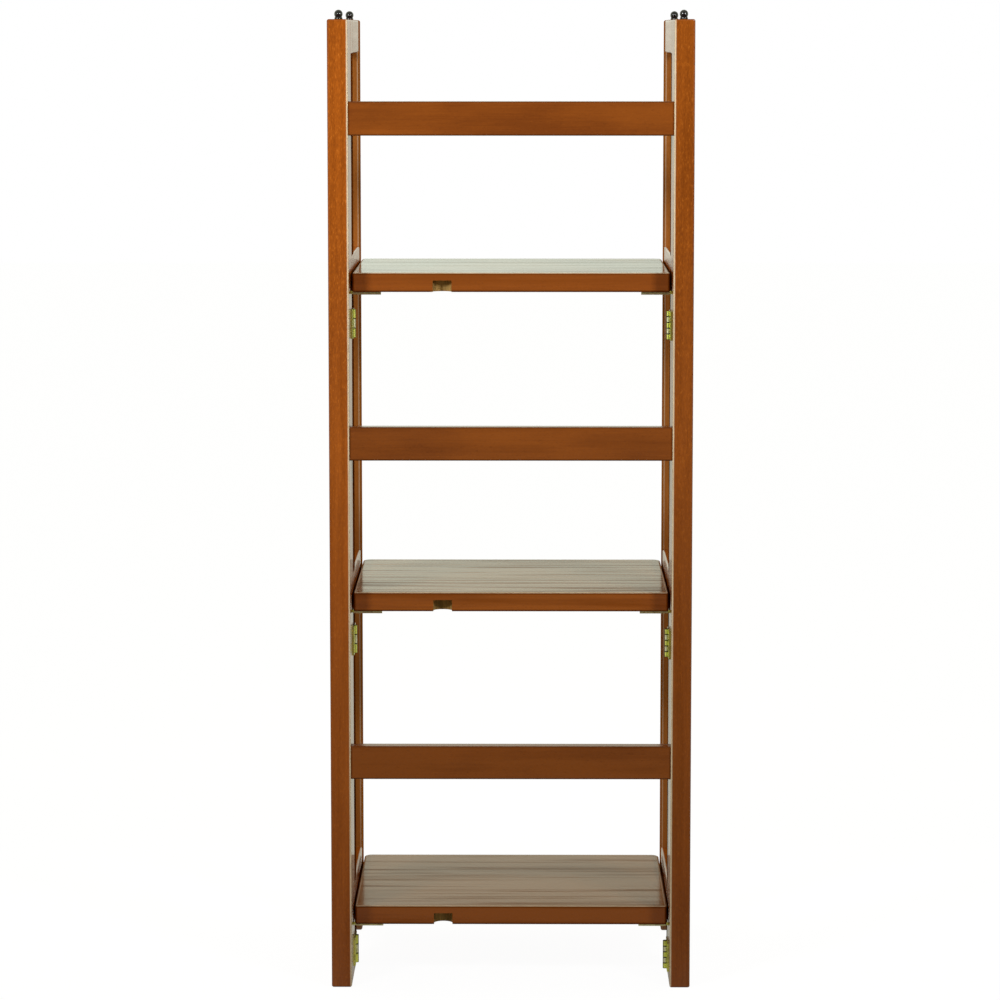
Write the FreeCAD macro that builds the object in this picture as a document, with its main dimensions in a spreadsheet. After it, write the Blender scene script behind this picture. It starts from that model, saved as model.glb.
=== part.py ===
"""Folding bookcase in stained wood.

Two posts and three slats make the back frame. A side frame is hinged to each post by three upright
brass hinges. Three shelves pivot on pins in the posts and rest on brackets on the front stiles: they
lift up against the slats, and then the right side frame folds in over them and the left one over it.

Frame: +Z up, origin on the floor below the middle, the slats at -Y and the open front at +Y.
"""
import FreeCAD, Part
import os
import re
import Sketcher

# Driving sizes in millimetres. Depths are measured from the back of the slats.
SIZES = {
    # Overall
    "case_width": 355.6,
    "case_depth": 292.1,
    "frame_height": 955,
    "side_thick": 20,
    "bar_round": 2,
    "cut_overrun": 1,
    # Back frame
    "right_post_depth": 45,
    "left_post_depth": 68,
    "slat_height": 33,
    "slat_thick": 17,
    "slat_recess": 1,
    "slat_rise": 151,
    "slat_dowel_dia": 6,
    "slat_dowel_spacing": 16,
    "slat_dowel_post_hold": 12,
    "slat_dowel_slat_hold": 18,
    # Side frames
    "side_gap": 0.5,
    "hinge_stile_depth": 42,
    "front_stile_depth": 48,
    "top_rail_height": 33,
    "shelf_rail_height": 28,
    "shelf_rail_rise": 14.5,
    "rail_dowel_dia": 8,
    "rail_dowel_hold": 16,
    # Shelves
    "shelf_thick": 19,
    "shelf_setback": 31.5,
    "shelf_front_setback": 18.6,
    "shelf_end_gap": 2,
    "shelf_corner_round": 8,
    "lower_shelf_top": 75.5,
    "upper_shelf_drop": 246.5,
    "notch_reach": 16,
    "notch_side_gap": 1.25,
    "notch_rise_gap": 0.6,
    # Shelf pivots
    "pivot_inset": 8,
    "pivot_leaf_length": 28,
    "pivot_leaf_width": 14,
    "pivot_leaf_thick": 1.4,
    "pivot_barrel_dia": 4.4,
    "pivot_pin_dia": 3,
    "pivot_pin_hold": 10,
    "pin_running_gap": 0.05,
    # Side hinges
    "hinge_height": 28.5,
    "hinge_drop": 19,
    "hinge_leaf_width": 16,
    "hinge_leaf_thick": 1.5,
    "left_hinge_barrel_dia": 4,
    "right_hinge_barrel_dia": 5.2,
    "hinge_pin_dia": 2.2,
    "knuckle_gap": 0.2,
    # Shelf rests
    "rest_reach": 20,
    "rest_drop": 17,
    "rest_width": 16,
    "rest_thick": 2,
    "rest_bend": 1.5,
    "rest_corner": 4,
    "rest_gap": 0.2,
    # Screws
    "screw_head_dia": 5.6,
    "screw_head_height": 1.4,
    "screw_shank_dia": 2.8,
    "screw_length": 12,
    # Stacking pegs and the sockets that take them
    "peg_ball_dia": 8.4,
    "peg_stem_dia": 6.6,
    "peg_rise": 9.2,
    "peg_hold": 14,
    "peg_setback": 30,
    "socket_dia": 9,
    "socket_hole": 12,
}

# Places on a plate or bar, as shares of its own size.
LEAF_SCREW_WIDTH_SHARE = 0.62
LEAF_SCREW_HEIGHT_SHARES = (-0.3, 0.3)
PIVOT_SCREW_WIDTH_SHARE = 0.6
PIVOT_SCREW_LENGTH_SHARES = (0.22, 0.78)
REST_SCREW_DROP_SHARE = 0.6
REST_SCREW_WIDTH_SHARES = (-0.25, 0.25)
SAME_WAY_SHARE = 0.99
NEAR_SHARE = 0.1

SIDES = ("left", "right")
LEVELS = ("lower", "middle", "upper")

# Which leaf each knuckle of a hinge belongs to, from the bottom up.
KNUCKLE_OWNERS = {
    "left": ("post", "stile", "post"),
    "right": ("post", "stile", "post", "stile", "post"),
}

# Places that several pieces share, as formulas of the driving sizes.
BACK = "(-case_depth / 2)"
FRONT = "(case_depth / 2)"
INNER = "(case_width / 2 - side_thick)"
BAY_PITCH = "((frame_height - upper_shelf_drop - lower_shelf_top) / 2)"
SHELF_DEPTH = "(case_depth - shelf_setback - shelf_front_setback)"
POST_DEPTH = {"left": "left_post_depth", "right": "right_post_depth"}
BARREL_DIA = {"left": "left_hinge_barrel_dia", "right": "right_hinge_barrel_dia"}
PIVOT_DROP = "(pivot_barrel_dia / 2 - pivot_leaf_thick)"
PIVOT_Y = f"({BACK} + shelf_setback + pivot_inset)"
SHELF_END = f"({INNER} - shelf_end_gap)"
REST_Y = f"({FRONT} - front_stile_depth / 2)"
PEG_X = "(case_width / 2 - side_thick / 2)"

X_AXIS = FreeCAD.Vector(1, 0, 0)
Y_AXIS = FreeCAD.Vector(0, 1, 0)
Z_AXIS = FreeCAD.Vector(0, 0, 1)
UP = FreeCAD.Rotation()
TOWARD_RIGHT = FreeCAD.Rotation(Y_AXIS, 90)
TOWARD_LEFT = FreeCAD.Rotation(Y_AXIS, -90)
TOWARD_FRONT = FreeCAD.Rotation(X_AXIS, -90)
OUTWARD = {"left": TOWARD_LEFT, "right": TOWARD_RIGHT}

doc = FreeCAD.newDocument("folding_bookcase")
cells = doc.addObject("Spreadsheet::Sheet", "cells")
for row, (alias, value) in enumerate(SIZES.items(), 1):
    cells.set(f"A{row}", alias)
    cells.set(f"B{row}", str(value))
    cells.setAlias(f"B{row}", alias)
doc.recompute()

nodes = []


# Formulas and placing

def formula(text):
    """Point every size name in a formula at its cell of the sheet."""
    return re.sub(r"\b[a-z]+(?:_[a-z]+)+\b", r"cells.\g<0>", text)


def bind(thing, **formulas):
    for prop, text in formulas.items():
        thing.setExpression(prop, formula(text))


def place(thing, x, y, z, turn=UP):
    thing.Placement = FreeCAD.Placement(FreeCAD.Vector(), turn)
    for axis, text in zip("xyz", (x, y, z)):
        thing.setExpression(f"Placement.Base.{axis}", formula(text))
    return thing


def low_x(side, inner, thick):
    """Lowest x of a slab on one side whose inner face is this far from the middle."""
    return inner if side == "right" else f"-({inner} + {thick})"


def sided(side, x):
    """A distance from the middle, as an x on the given side."""
    return x if side == "right" else f"-({x})"


def hinge_x(side):
    """How far from the middle a side's hinge pins stand."""
    return f"({INNER} - {BARREL_DIA[side]} / 2)"


def hinge_y(side):
    return f"({BACK} + {POST_DEPTH[side]} + side_gap / 2)"


def shelf_bottom(level):
    return f"(lower_shelf_top - shelf_thick + {LEVELS.index(level)} * {BAY_PITCH})"


def slat_middle(level):
    return f"({shelf_bottom(level)} + shelf_thick + slat_rise)"


def pivot_z(level):
    return f"({shelf_bottom(level)} - {PIVOT_DROP})"


def node(thing, label):
    thing.Label = label
    nodes.append(thing)
    return thing


# Solids

def block(name, size, corner):
    box = doc.addObject("Part::Box", name)
    bind(box, Length=size[0], Width=size[1], Height=size[2])
    return place(box, *corner)


def rod(name, dia, length, start, turn=UP):
    cylinder = doc.addObject("Part::Cylinder", name)
    bind(cylinder, Radius=f"({dia}) / 2", Height=length)
    return place(cylinder, *start, turn)


def fused(name, pieces):
    union = doc.addObject("Part::MultiFuse", name)
    union.Shapes = pieces
    return union


def group(name, pieces):
    compound = doc.addObject("Part::Compound", name)
    compound.Links = pieces
    return compound


def cut(name, base, tools):
    result = doc.addObject("Part::Cut", name)
    result.Base = base
    result.Tool = tools[0] if len(tools) == 1 else group(name + "_tools", tools)
    return result


def outline(body, corners, sizes):
    """Sketch a closed square-cornered outline on the body's XY plane.

    corners are the points of a unit shape in order. sizes maps a constraint's name to the two corners
    that it spans, its direction and its formula.
    """
    sketch = body.newObject("Sketcher::SketchObject", body.Name + "_outline")
    plane = [item for item in body.Origin.OriginFeatures if item.Role == "XY_Plane"][0]
    sketch.AttachmentSupport = (plane, [""])
    sketch.MapMode = "FlatFace"
    points = [FreeCAD.Vector(x, y, 0) for x, y in corners]
    count = len(points)
    for index, point in enumerate(points):
        sketch.addGeometry(Part.LineSegment(point, points[(index + 1) % count]), False)
    for index, point in enumerate(points):
        following = (index + 1) % count
        sketch.addConstraint(Sketcher.Constraint("Coincident", index, 2, following, 1))
        level = point.y == points[following].y
        sketch.addConstraint(Sketcher.Constraint("Horizontal" if level else "Vertical", index))
    sketch.addConstraint(Sketcher.Constraint("Coincident", 0, 1, -1, 1))
    for label, (first, last, direction, text) in sizes.items():
        span = points[last] - points[first]
        length = span.x if direction == "DistanceX" else span.y
        index = sketch.addConstraint(Sketcher.Constraint(direction, first, 1, last, 1, length))
        sketch.renameConstraint(index, label)
        sketch.setExpression(f"Constraints.{label}", formula(text))
    return sketch


def padded(name, corners, sizes, height):
    body = doc.addObject("PartDesign::Body", name)
    pad = body.newObject("PartDesign::Pad", name + "_pad")
    pad.Profile = outline(body, corners, sizes)
    bind(pad, Length=height)
    doc.recompute()
    return body, pad


def eased(body, base, radius, wanted):
    """Round the edges of the body's last feature that the test picks."""
    edges = [f"Edge{index}" for index, edge in enumerate(base.Shape.Edges, 1) if wanted(edge)]
    fillet = body.newObject("PartDesign::Fillet", body.Name + "_round")
    fillet.Base = (base, edges)
    bind(fillet, Radius=radius)
    doc.recompute()
    return fillet


def runs(edge, direction):
    return abs(edge.tangentAt(edge.FirstParameter).dot(direction)) > SAME_WAY_SHARE


def stands_at(edge, x, y):
    middle = edge.CenterOfMass
    return max(abs(middle.x - x), abs(middle.y - y)) < NEAR_SHARE * cells.rest_thick


def board(name, size):
    """A square-cornered board, padded from its plan."""
    square = [(0, 0), (1, 0), (1, 1), (0, 1)]
    spans = {"across": (0, 1, "DistanceX", size[0]), "deep": (1, 2, "DistanceY", size[1])}
    return padded(name, square, spans, size[2])


def bar(name, size, corner, grain=None):
    """A planed bar with eased edges: those along its grain, or all of them."""
    body, pad = board(name, size)
    eased(body, pad, "bar_round", lambda edge: grain is None or runs(edge, grain))
    return place(body, *corner)


def screw(name, head, turn):
    """A countersunk screw whose flat head lies at the given point and drives along the turned Z."""
    cone = doc.addObject("Part::Cone", name + "_head")
    bind(cone, Radius1="screw_head_dia / 2", Radius2="screw_shank_dia / 2", Height="screw_head_height")
    place(cone, *head, turn)
    neck = [f"{at} + {round(way)} * screw_head_height" for at, way in zip(head, turn.multVec(Z_AXIS))]
    shank = rod(name + "_shank", "screw_shank_dia", "screw_length - screw_head_height", neck, turn)
    return fused(name, [cone, shank])


# Back frame

def slat_dowels():
    """Two dowels at each end of each slat, by slat and side."""
    dowels = {}
    for level in LEVELS:
        for side in SIDES:
            length = "(slat_dowel_post_hold + slat_dowel_slat_hold)"
            x = low_x(side, f"({INNER} - slat_dowel_slat_hold)", length)
            dowels[level, side] = [
                rod(f"{level}_{side}_slat_dowel", "slat_dowel_dia", length,
                    (x, f"{BACK} + slat_recess + slat_thick / 2",
                     f"{slat_middle(level)} {way} slat_dowel_spacing / 2"), TOWARD_RIGHT)
                for way in "-+"]
    node(group("slat_dowel_set", [dowel for pair in dowels.values() for dowel in pair]), "slat_dowels")
    return dowels


def slats(dowels):
    for level in LEVELS:
        low = f"{slat_middle(level)} - slat_height / 2"
        blank = bar(f"{level}_slat_blank", (f"2 * {INNER}", "slat_thick", "slat_height"),
                    (f"-{INNER}", f"{BACK} + slat_recess", low), X_AXIS)
        tools = dowels[level, "left"] + dowels[level, "right"]
        node(cut(f"{level}_slat_bored", blank, tools), f"{level}_slat")


def peg(name, side, y):
    """A ball-headed peg that stands on a post and takes the next bookcase's foot."""
    stem = rod(name + "_stem", "peg_stem_dia", "peg_hold + peg_rise - peg_ball_dia / 2",
               (sided(side, PEG_X), y, "frame_height - peg_hold"))
    ball = doc.addObject("Part::Sphere", name + "_ball")
    bind(ball, Radius="peg_ball_dia / 2")
    place(ball, sided(side, PEG_X), y, "frame_height + peg_rise - peg_ball_dia / 2")
    return fused(name, [stem, ball])


def socket(name, side, y):
    """The hole in a foot that drops over the peg of the bookcase below."""
    return rod(name, "socket_dia", "socket_hole + cut_overrun", (sided(side, PEG_X), y, "-cut_overrun"))


def stacking():
    """Peg and foot socket of each of the four corners, by side and place."""
    places = {"back": f"({BACK} + peg_setback)", "front": REST_Y}
    fitted = {}
    for side in SIDES:
        for where, y in places.items():
            fitted[side, where] = [peg(f"{side}_{where}_peg", side, y),
                                   socket(f"{side}_{where}_socket", side, y)]
    node(group("peg_set", [pair[0] for pair in fitted.values()]), "stacking_pegs")
    return fitted


# Shelf pivots

def pivot_pins():
    """The pin in each post that a shelf turns on, by level and side."""
    pins = {}
    for level in LEVELS:
        for side in SIDES:
            length = "(pivot_leaf_length + shelf_end_gap + pivot_pin_hold)"
            x = low_x(side, f"({SHELF_END} - pivot_leaf_length)", length)
            pins[level, side] = rod(f"{level}_{side}_pivot_pin", "pivot_pin_dia", length,
                                    (x, PIVOT_Y, pivot_z(level)), TOWARD_RIGHT)
        node(group(f"{level}_pivot_pin_pair", [pins[level, side] for side in SIDES]),
             f"{level}_pivot_pins")
    return pins


def pivot_leaf(level, side):
    """A brass leaf let into the shelf's underside and rolled round the pin. Returns its blank and screws."""
    name = f"{level}_{side}_pivot"
    x = low_x(side, f"({SHELF_END} - pivot_leaf_length)", "pivot_leaf_length")
    plate = block(name + "_plate", ("pivot_leaf_length", "pivot_leaf_width", "pivot_leaf_thick"),
                  (x, PIVOT_Y, shelf_bottom(level)))
    barrel = rod(name + "_barrel", "pivot_barrel_dia", "pivot_leaf_length",
                 (x, PIVOT_Y, pivot_z(level)), TOWARD_RIGHT)
    blank = fused(name + "_blank", [plate, barrel])
    bore = rod(name + "_bore", "pivot_pin_dia + 2 * pin_running_gap", "pivot_leaf_length + 2 * cut_overrun",
               (f"{x} - cut_overrun", PIVOT_Y, pivot_z(level)), TOWARD_RIGHT)
    screws = [
        screw(f"{name}_screw", (f"{x} + {share} * pivot_leaf_length",
                                f"{PIVOT_Y} + {PIVOT_SCREW_WIDTH_SHARE} * pivot_leaf_width",
                                shelf_bottom(level)), UP)
        for share in PIVOT_SCREW_LENGTH_SHARES]
    node(cut(name + "_leaf_bored", blank, [bore] + screws), f"{level}_shelf_{side}_pivot_leaf")
    return blank, screws


# Shelves

def shelf_notch(level):
    """The hollow in a shelf's underside that clears the right side's rest when the case is folded."""
    name = f"{level}_notch"
    width = "(rest_width + 2 * notch_side_gap)"
    swing = f"({REST_Y} - {hinge_y('right')})"
    x = f"({hinge_x('right')} - {swing})"
    folded_underside = f"({PIVOT_Y} - {PIVOT_DROP})"
    rest_tip = f"({hinge_y('right')} + {BARREL_DIA['right']} / 2 - rest_reach)"
    rise = f"({folded_underside} - {rest_tip} + notch_rise_gap)"
    straight = f"(notch_reach - {width} / 2)"
    low = f"{shelf_bottom(level)} - cut_overrun"
    edge = f"({BACK} + shelf_setback)"
    throat = block(name + "_throat", (width, f"{straight} + cut_overrun", f"{rise} + cut_overrun"),
                   (f"{x} - {width} / 2", f"{edge} - cut_overrun", low))
    end = rod(name + "_end", width, f"{rise} + cut_overrun", (x, f"{edge} + {straight}", low))
    return fused(name, [throat, end])


def shelf(level):
    body, pad = board(f"{level}_shelf_blank", (f"2 * {SHELF_END}", SHELF_DEPTH, "shelf_thick"))
    corners = eased(body, pad, "shelf_corner_round",
                    lambda edge: runs(edge, Z_AXIS) and edge.CenterOfMass.y > 0)
    ends = eased(body, corners, "bar_round",
                 lambda edge: runs(edge, Z_AXIS) and edge.CenterOfMass.y < cells.bar_round)
    eased(body, ends, "bar_round", lambda edge: not runs(edge, Z_AXIS))
    place(body, f"-{SHELF_END}", f"{BACK} + shelf_setback", shelf_bottom(level))
    tools = [shelf_notch(level)]
    screws = []
    for side in SIDES:
        blank, leaf_screws = pivot_leaf(level, side)
        tools.append(blank)
        screws += leaf_screws
    node(group(f"{level}_pivot_screw_set", screws), f"{level}_pivot_screws")
    node(cut(f"{level}_shelf_cut", body, tools + screws), f"{level}_shelf")


# Upright hinges between the posts and the side frames

def hinge_low(level):
    return f"({shelf_bottom(level)} - hinge_drop - hinge_height)"


def hinge_leaf(name, side, level, owner, bore):
    """One leaf of a hinge: its plate, its own knuckles and its countersunk screws."""
    away = -1 if owner == "post" else 1
    y = hinge_y(side)
    low = hinge_low(level)
    root = f"({BARREL_DIA[side]} / 2 + knuckle_gap)"
    reach = f"(hinge_leaf_width - {root})"
    plate_y = f"{y} + {root}" if away > 0 else f"{y} - hinge_leaf_width"
    x = low_x(side, f"({INNER} - hinge_leaf_thick)", "hinge_leaf_thick")
    plate = block(name + "_plate", ("hinge_leaf_thick", reach, "hinge_height"), (x, plate_y, low))
    pieces = [plate]
    owners = KNUCKLE_OWNERS[side]
    step = f"(hinge_height / {len(owners)})"
    for number in [index for index, who in enumerate(owners) if who == owner]:
        foot = f"{low} + {number} * {step} + knuckle_gap / 2"
        height = f"{step} - knuckle_gap"
        pieces.append(rod(name + "_knuckle", BARREL_DIA[side], height, (sided(side, hinge_x(side)), y, foot)))
        tab_y = y if away > 0 else f"{y} - {root}"
        pieces.append(block(name + "_tab", ("hinge_leaf_thick", root, height), (x, tab_y, foot)))
    screws = [
        screw(name + "_screw", (sided(side, f"({INNER} - hinge_leaf_thick)"),
                                f"{y} + {away} * {LEAF_SCREW_WIDTH_SHARE} * hinge_leaf_width",
                                f"{low} + hinge_height / 2 + {share} * hinge_height"), OUTWARD[side])
        for share in LEAF_SCREW_HEIGHT_SHARES]
    node(cut(name + "_bored", fused(name + "_blank", pieces), [bore] + screws), name)
    return screws


def hinges():
    """All upright hinges. Returns the screws in each post and hinge stile."""
    held = {}
    for side in SIDES:
        pins = []
        for level in LEVELS:
            x = sided(side, hinge_x(side))
            low = hinge_low(level)
            bore = rod(f"{side}_{level}_hinge_bore", "hinge_pin_dia + 2 * pin_running_gap",
                       "hinge_height + 2 * cut_overrun", (x, hinge_y(side), f"{low} - cut_overrun"))
            pins.append(rod(f"{side}_{level}_hinge_pin", "hinge_pin_dia", "hinge_height",
                            (x, hinge_y(side), low)))
            for owner in ("post", "stile"):
                screws = hinge_leaf(f"{side}_{level}_{owner}_leaf", side, level, owner, bore)
                held.setdefault((side, owner), []).extend(screws)
        node(group(f"{side}_hinge_pin_set", pins), f"{side}_hinge_pins")
    node(group("hinge_screw_set", [one for screws in held.values() for one in screws]), "hinge_screws")
    return held


# Shelf rests on the front stiles

def rest(side, level):
    """A bent angle bracket under a shelf's far end. Returns its screws."""
    name = f"{side}_{level}_rest"
    angle = [(0, 0), (2, 0), (2, 1), (1, 1), (1, 2), (0, 2)]
    spans = {"reach": (0, 1, "DistanceX", "rest_reach"), "drop": (0, 5, "DistanceY", "rest_drop"),
             "leg_thick": (1, 2, "DistanceY", "rest_thick"), "back_thick": (5, 4, "DistanceX", "rest_thick")}
    body, pad = padded(name + "_blank", angle, spans, "rest_width")
    reach = cells.rest_reach
    thick = cells.rest_thick
    bend = eased(body, pad, "rest_bend", lambda edge: runs(edge, Z_AXIS) and stands_at(edge, thick, thick))
    heel = eased(body, bend, "rest_bend + rest_thick",
                 lambda edge: runs(edge, Z_AXIS) and stands_at(edge, 0, 0))
    eased(body, heel, "rest_corner", lambda edge: runs(edge, Y_AXIS) and stands_at(edge, reach, thick / 2))
    top = f"({shelf_bottom(level)} - rest_gap)"
    lying = FreeCAD.Rotation(X_AXIS, -90)
    if side == "right":
        place(body, INNER, f"{REST_Y} + rest_width / 2", top, FreeCAD.Rotation(Z_AXIS, 180) * lying)
    else:
        place(body, f"-{INNER}", f"{REST_Y} - rest_width / 2", top, lying)
    screws = [
        screw(name + "_screw", (sided(side, f"({INNER} - rest_thick)"),
                                f"{REST_Y} + {share} * rest_width",
                                f"{top} - {REST_SCREW_DROP_SHARE} * rest_drop"), OUTWARD[side])
        for share in REST_SCREW_WIDTH_SHARES]
    node(cut(name + "_bored", body, screws), name)
    return screws


def rests():
    """All shelf rests. Returns the screws in each front stile."""
    held = {side: [one for level in LEVELS for one in rest(side, level)] for side in SIDES}
    node(group("rest_screw_set", held["left"] + held["right"]), "rest_screws")
    return held


# Posts and side frames

def upright(label, side, depth, y, tools):
    """A full-height post or stile, bored for what it holds."""
    blank = bar(label + "_blank", ("side_thick", depth, "frame_height"),
                (low_x(side, INNER, "side_thick"), y, "0"))
    node(cut(label + "_bored", blank, tools), label)


def side_rails(side):
    """The four rails of a side frame. Returns the dowels at their hinge ends and front ends."""
    start = f"({BACK} + {POST_DEPTH[side]} + side_gap + hinge_stile_depth)"
    end = f"({FRONT} - front_stile_depth)"
    rails = {"top": ("(frame_height - top_rail_height)", "top_rail_height")}
    for level in LEVELS:
        top = f"{shelf_bottom(level)} + shelf_thick + shelf_rail_rise"
        rails[level] = (f"({top} - shelf_rail_height)", "shelf_rail_height")
    dowels = {"hinge": [], "front": []}
    for level, (low, height) in rails.items():
        name = f"{side}_{level}_rail"
        for where, face in (("hinge", start), ("front", end)):
            foot = (sided(side, PEG_X), f"{face} - rail_dowel_hold", f"{low} + {height} / 2")
            dowels[where].append(rod(f"{name}_{where}_dowel", "rail_dowel_dia", "2 * rail_dowel_hold", foot,
                                     TOWARD_FRONT))
        blank = bar(name + "_blank", ("side_thick", f"{end} - {start}", height),
                    (low_x(side, INNER, "side_thick"), start, low), Y_AXIS)
        node(cut(name + "_bored", blank, [dowels["hinge"][-1], dowels["front"][-1]]), name)
    return dowels


def frames(slat_pegs, pins, corner_fittings, hinge_screws, rest_screws):
    rail_dowels = []
    for side in SIDES:
        post_tools = [dowel for level in LEVELS for dowel in slat_pegs[level, side]]
        post_tools += [pins[level, side] for level in LEVELS]
        post_tools += corner_fittings[side, "back"] + hinge_screws[side, "post"]
        upright(f"{side}_post", side, POST_DEPTH[side], BACK, post_tools)
        dowels = side_rails(side)
        rail_dowels += dowels["hinge"] + dowels["front"]
        upright(f"{side}_hinge_stile", side, "hinge_stile_depth",
                f"{BACK} + {POST_DEPTH[side]} + side_gap", dowels["hinge"] + hinge_screws[side, "stile"])
        upright(f"{side}_front_stile", side, "front_stile_depth", f"{FRONT} - front_stile_depth",
                dowels["front"] + corner_fittings[side, "front"] + rest_screws[side])
    node(group("rail_dowel_set", rail_dowels), "rail_dowels")


def check():
    """Stop before anything is written if a feature failed or a piece is not sound."""
    for thing in doc.Objects:
        if "Invalid" in thing.State or "Error" in thing.State:
            raise RuntimeError(f"{thing.Label} failed: {thing.State}")
    for thing in nodes:
        if thing.Shape.isNull() or not thing.Shape.isValid() or not thing.Shape.Solids:
            raise RuntimeError(f"{thing.Label} is not a sound solid")


slat_fits = slat_dowels()
slats(slat_fits)
corner_fits = stacking()
pivots = pivot_pins()
for shelf_level in LEVELS:
    shelf(shelf_level)
frames(slat_fits, pivots, corner_fits, hinges(), rests())
doc.recompute()
check()

os.makedirs("parts", exist_ok=True)
for piece in nodes:
    piece.Shape.exportStep(f"parts/{piece.Label}.step")
print(len(nodes), "nodes,", sum(len(piece.Shape.Solids) for piece in nodes), "solids")
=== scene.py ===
"""Looks of a folding bookcase: stained wood, brass fittings, black stacking pegs and a white studio.

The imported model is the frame. Its wooden and brass pieces keep their shape and get their finish here,
and the screws and stacking pegs are made again with the detail that the frame leaves out.
"""

import functools
import math

import bmesh
import bpy
from bpy.props import FloatProperty, FloatVectorProperty, PointerProperty
from mathutils import Matrix, Vector


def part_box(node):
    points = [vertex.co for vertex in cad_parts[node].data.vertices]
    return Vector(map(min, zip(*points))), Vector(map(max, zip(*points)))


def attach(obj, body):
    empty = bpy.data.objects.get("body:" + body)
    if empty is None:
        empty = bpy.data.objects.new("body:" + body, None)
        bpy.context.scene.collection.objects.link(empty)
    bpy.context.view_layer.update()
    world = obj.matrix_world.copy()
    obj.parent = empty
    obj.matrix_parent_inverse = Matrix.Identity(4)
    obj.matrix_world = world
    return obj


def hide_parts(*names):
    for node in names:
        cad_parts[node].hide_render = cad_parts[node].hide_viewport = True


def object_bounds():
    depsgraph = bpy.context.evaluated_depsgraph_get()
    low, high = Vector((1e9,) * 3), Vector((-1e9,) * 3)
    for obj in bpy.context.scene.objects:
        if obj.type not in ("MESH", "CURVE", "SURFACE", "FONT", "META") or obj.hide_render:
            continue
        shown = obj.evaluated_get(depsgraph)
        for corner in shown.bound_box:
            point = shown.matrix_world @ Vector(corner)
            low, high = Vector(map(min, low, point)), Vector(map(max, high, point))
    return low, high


bl_info = {
    "name": "Folding Bookcase",
    "version": (1, 0, 0),
    "blender": (4, 5, 0),
    "location": "View3D > Sidebar > Bookcase",
    "description": "Stain, fittings, stacking pegs and studio of a folding bookcase",
    "category": "Object",
}

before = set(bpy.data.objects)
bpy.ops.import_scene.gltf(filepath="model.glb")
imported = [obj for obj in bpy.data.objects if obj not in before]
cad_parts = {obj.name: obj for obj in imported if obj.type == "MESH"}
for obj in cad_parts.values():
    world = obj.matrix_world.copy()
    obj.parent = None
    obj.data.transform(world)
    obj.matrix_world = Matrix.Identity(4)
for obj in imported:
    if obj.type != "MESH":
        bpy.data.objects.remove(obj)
cad_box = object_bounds()

LEVELS = ("lower", "middle", "upper")
SIDES = ("left", "right")
RAILS = (*LEVELS, "top")
KNUCKLES = {"left": 3, "right": 5}
OUTER_END = {"left": "-X", "right": "+X"}
INWARD = {"left": 1.0, "right": -1.0}
WHITE = (1.0, 1.0, 1.0, 1.0)


# Settings

def colour(name, description, default):
    return FloatVectorProperty(name=name, description=description, default=default,
                               subtype="COLOR", size=3, min=0.0, max=1.0)


def share(name, description, default):
    return FloatProperty(name=name, description=description, default=default,
                         subtype="FACTOR", min=0.0, max=1.0)


def length(name, description, default):
    return FloatProperty(name=name, description=description, default=default,
                         unit="LENGTH", min=0.0, precision=4)


def place(name, description, default):
    return FloatVectorProperty(name=name, description=description, default=default,
                               subtype="TRANSLATION", size=3)


def angle(name, description, degrees):
    return FloatProperty(name=name, description=description, default=math.radians(degrees),
                         subtype="ANGLE")


def power(name, description, default):
    return FloatProperty(name=name, description=description, default=default, unit="POWER", min=0.0)


class BookcaseWood(bpy.types.PropertyGroup):
    """Stain and lacquer of the wooden pieces, and the painted light and shade in their colours."""

    frame_light: colour("Frame light", "Stain on the soft grain of the posts, stiles and rails",
                        (0.455, 0.110, 0.0080))
    frame_dark: colour("Frame dark", "Stain in the hard grain of the posts, stiles and rails",
                       (0.285, 0.065, 0.0050))
    # Painted shade: the right side's stain is made darker to stand in for the lesser light that falls on it.
    right_shade: share("Right shade", "How much darker the right side took the stain", 0.23)
    # Painted reflection: the front stiles take a paler, yellower copy of the frame stain on the face turned
    # to the slats and on the inner face, which stands in for the glare of the bright room on them.
    stile_light: colour("Front stile light",
                        "Stain on the soft grain of the front stiles, towards the slats",
                        (0.42, 0.140, 0.024))
    stile_dark: colour("Front stile dark",
                       "Stain in the hard grain of the front stiles, towards the slats",
                       (0.25, 0.080, 0.013))
    slat_light: colour("Slat light", "Stain on the soft grain of the slats", (0.295, 0.074, 0.0065))
    slat_dark: colour("Slat dark", "Stain in the hard grain of the slats", (0.185, 0.043, 0.0040))
    shelf_light: colour("Shelf light", "Stain on the soft grain of the shelves", (0.480, 0.122, 0.0100))
    shelf_dark: colour("Shelf dark", "Stain in the hard grain of the shelves", (0.300, 0.072, 0.0065))
    # Painted reflection: the shelf tops take a paler, less red copy of the shelf stain, which stands in for
    # the glare of the room on them.
    top_light: colour("Shelf top light", "Faded stain on the soft grain of the shelf tops",
                      (0.34, 0.138, 0.032))
    top_dark: colour("Shelf top dark", "Faded stain in the hard grain of the shelf tops",
                     (0.20, 0.076, 0.017))
    bare: colour("Bare wood", "Unstained wood inside the notches and of the dowels", (0.62, 0.38, 0.12))
    # Painted highlight: the next two settings give the pale cream laid in patches along chosen edges, which
    # stands in for the glare on their rounded edges, and how far in from an edge it reaches.
    rubbed: colour("Rubbed edge", "Where the stain is rubbed thin along an edge", (0.98, 0.80, 0.54))
    rub_width: length("Rub width", "How far from an edge the stain is rubbed thin", 0.0022)
    lacquer: share("Lacquer", "How thick the clear lacquer lies on the stain", 0.9)
    pores: share("Pores", "How dark the pores of the wood are", 0.45)
    stave: length("Stave width", "Width of the boards that a shelf is glued from", 0.0484)


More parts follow.
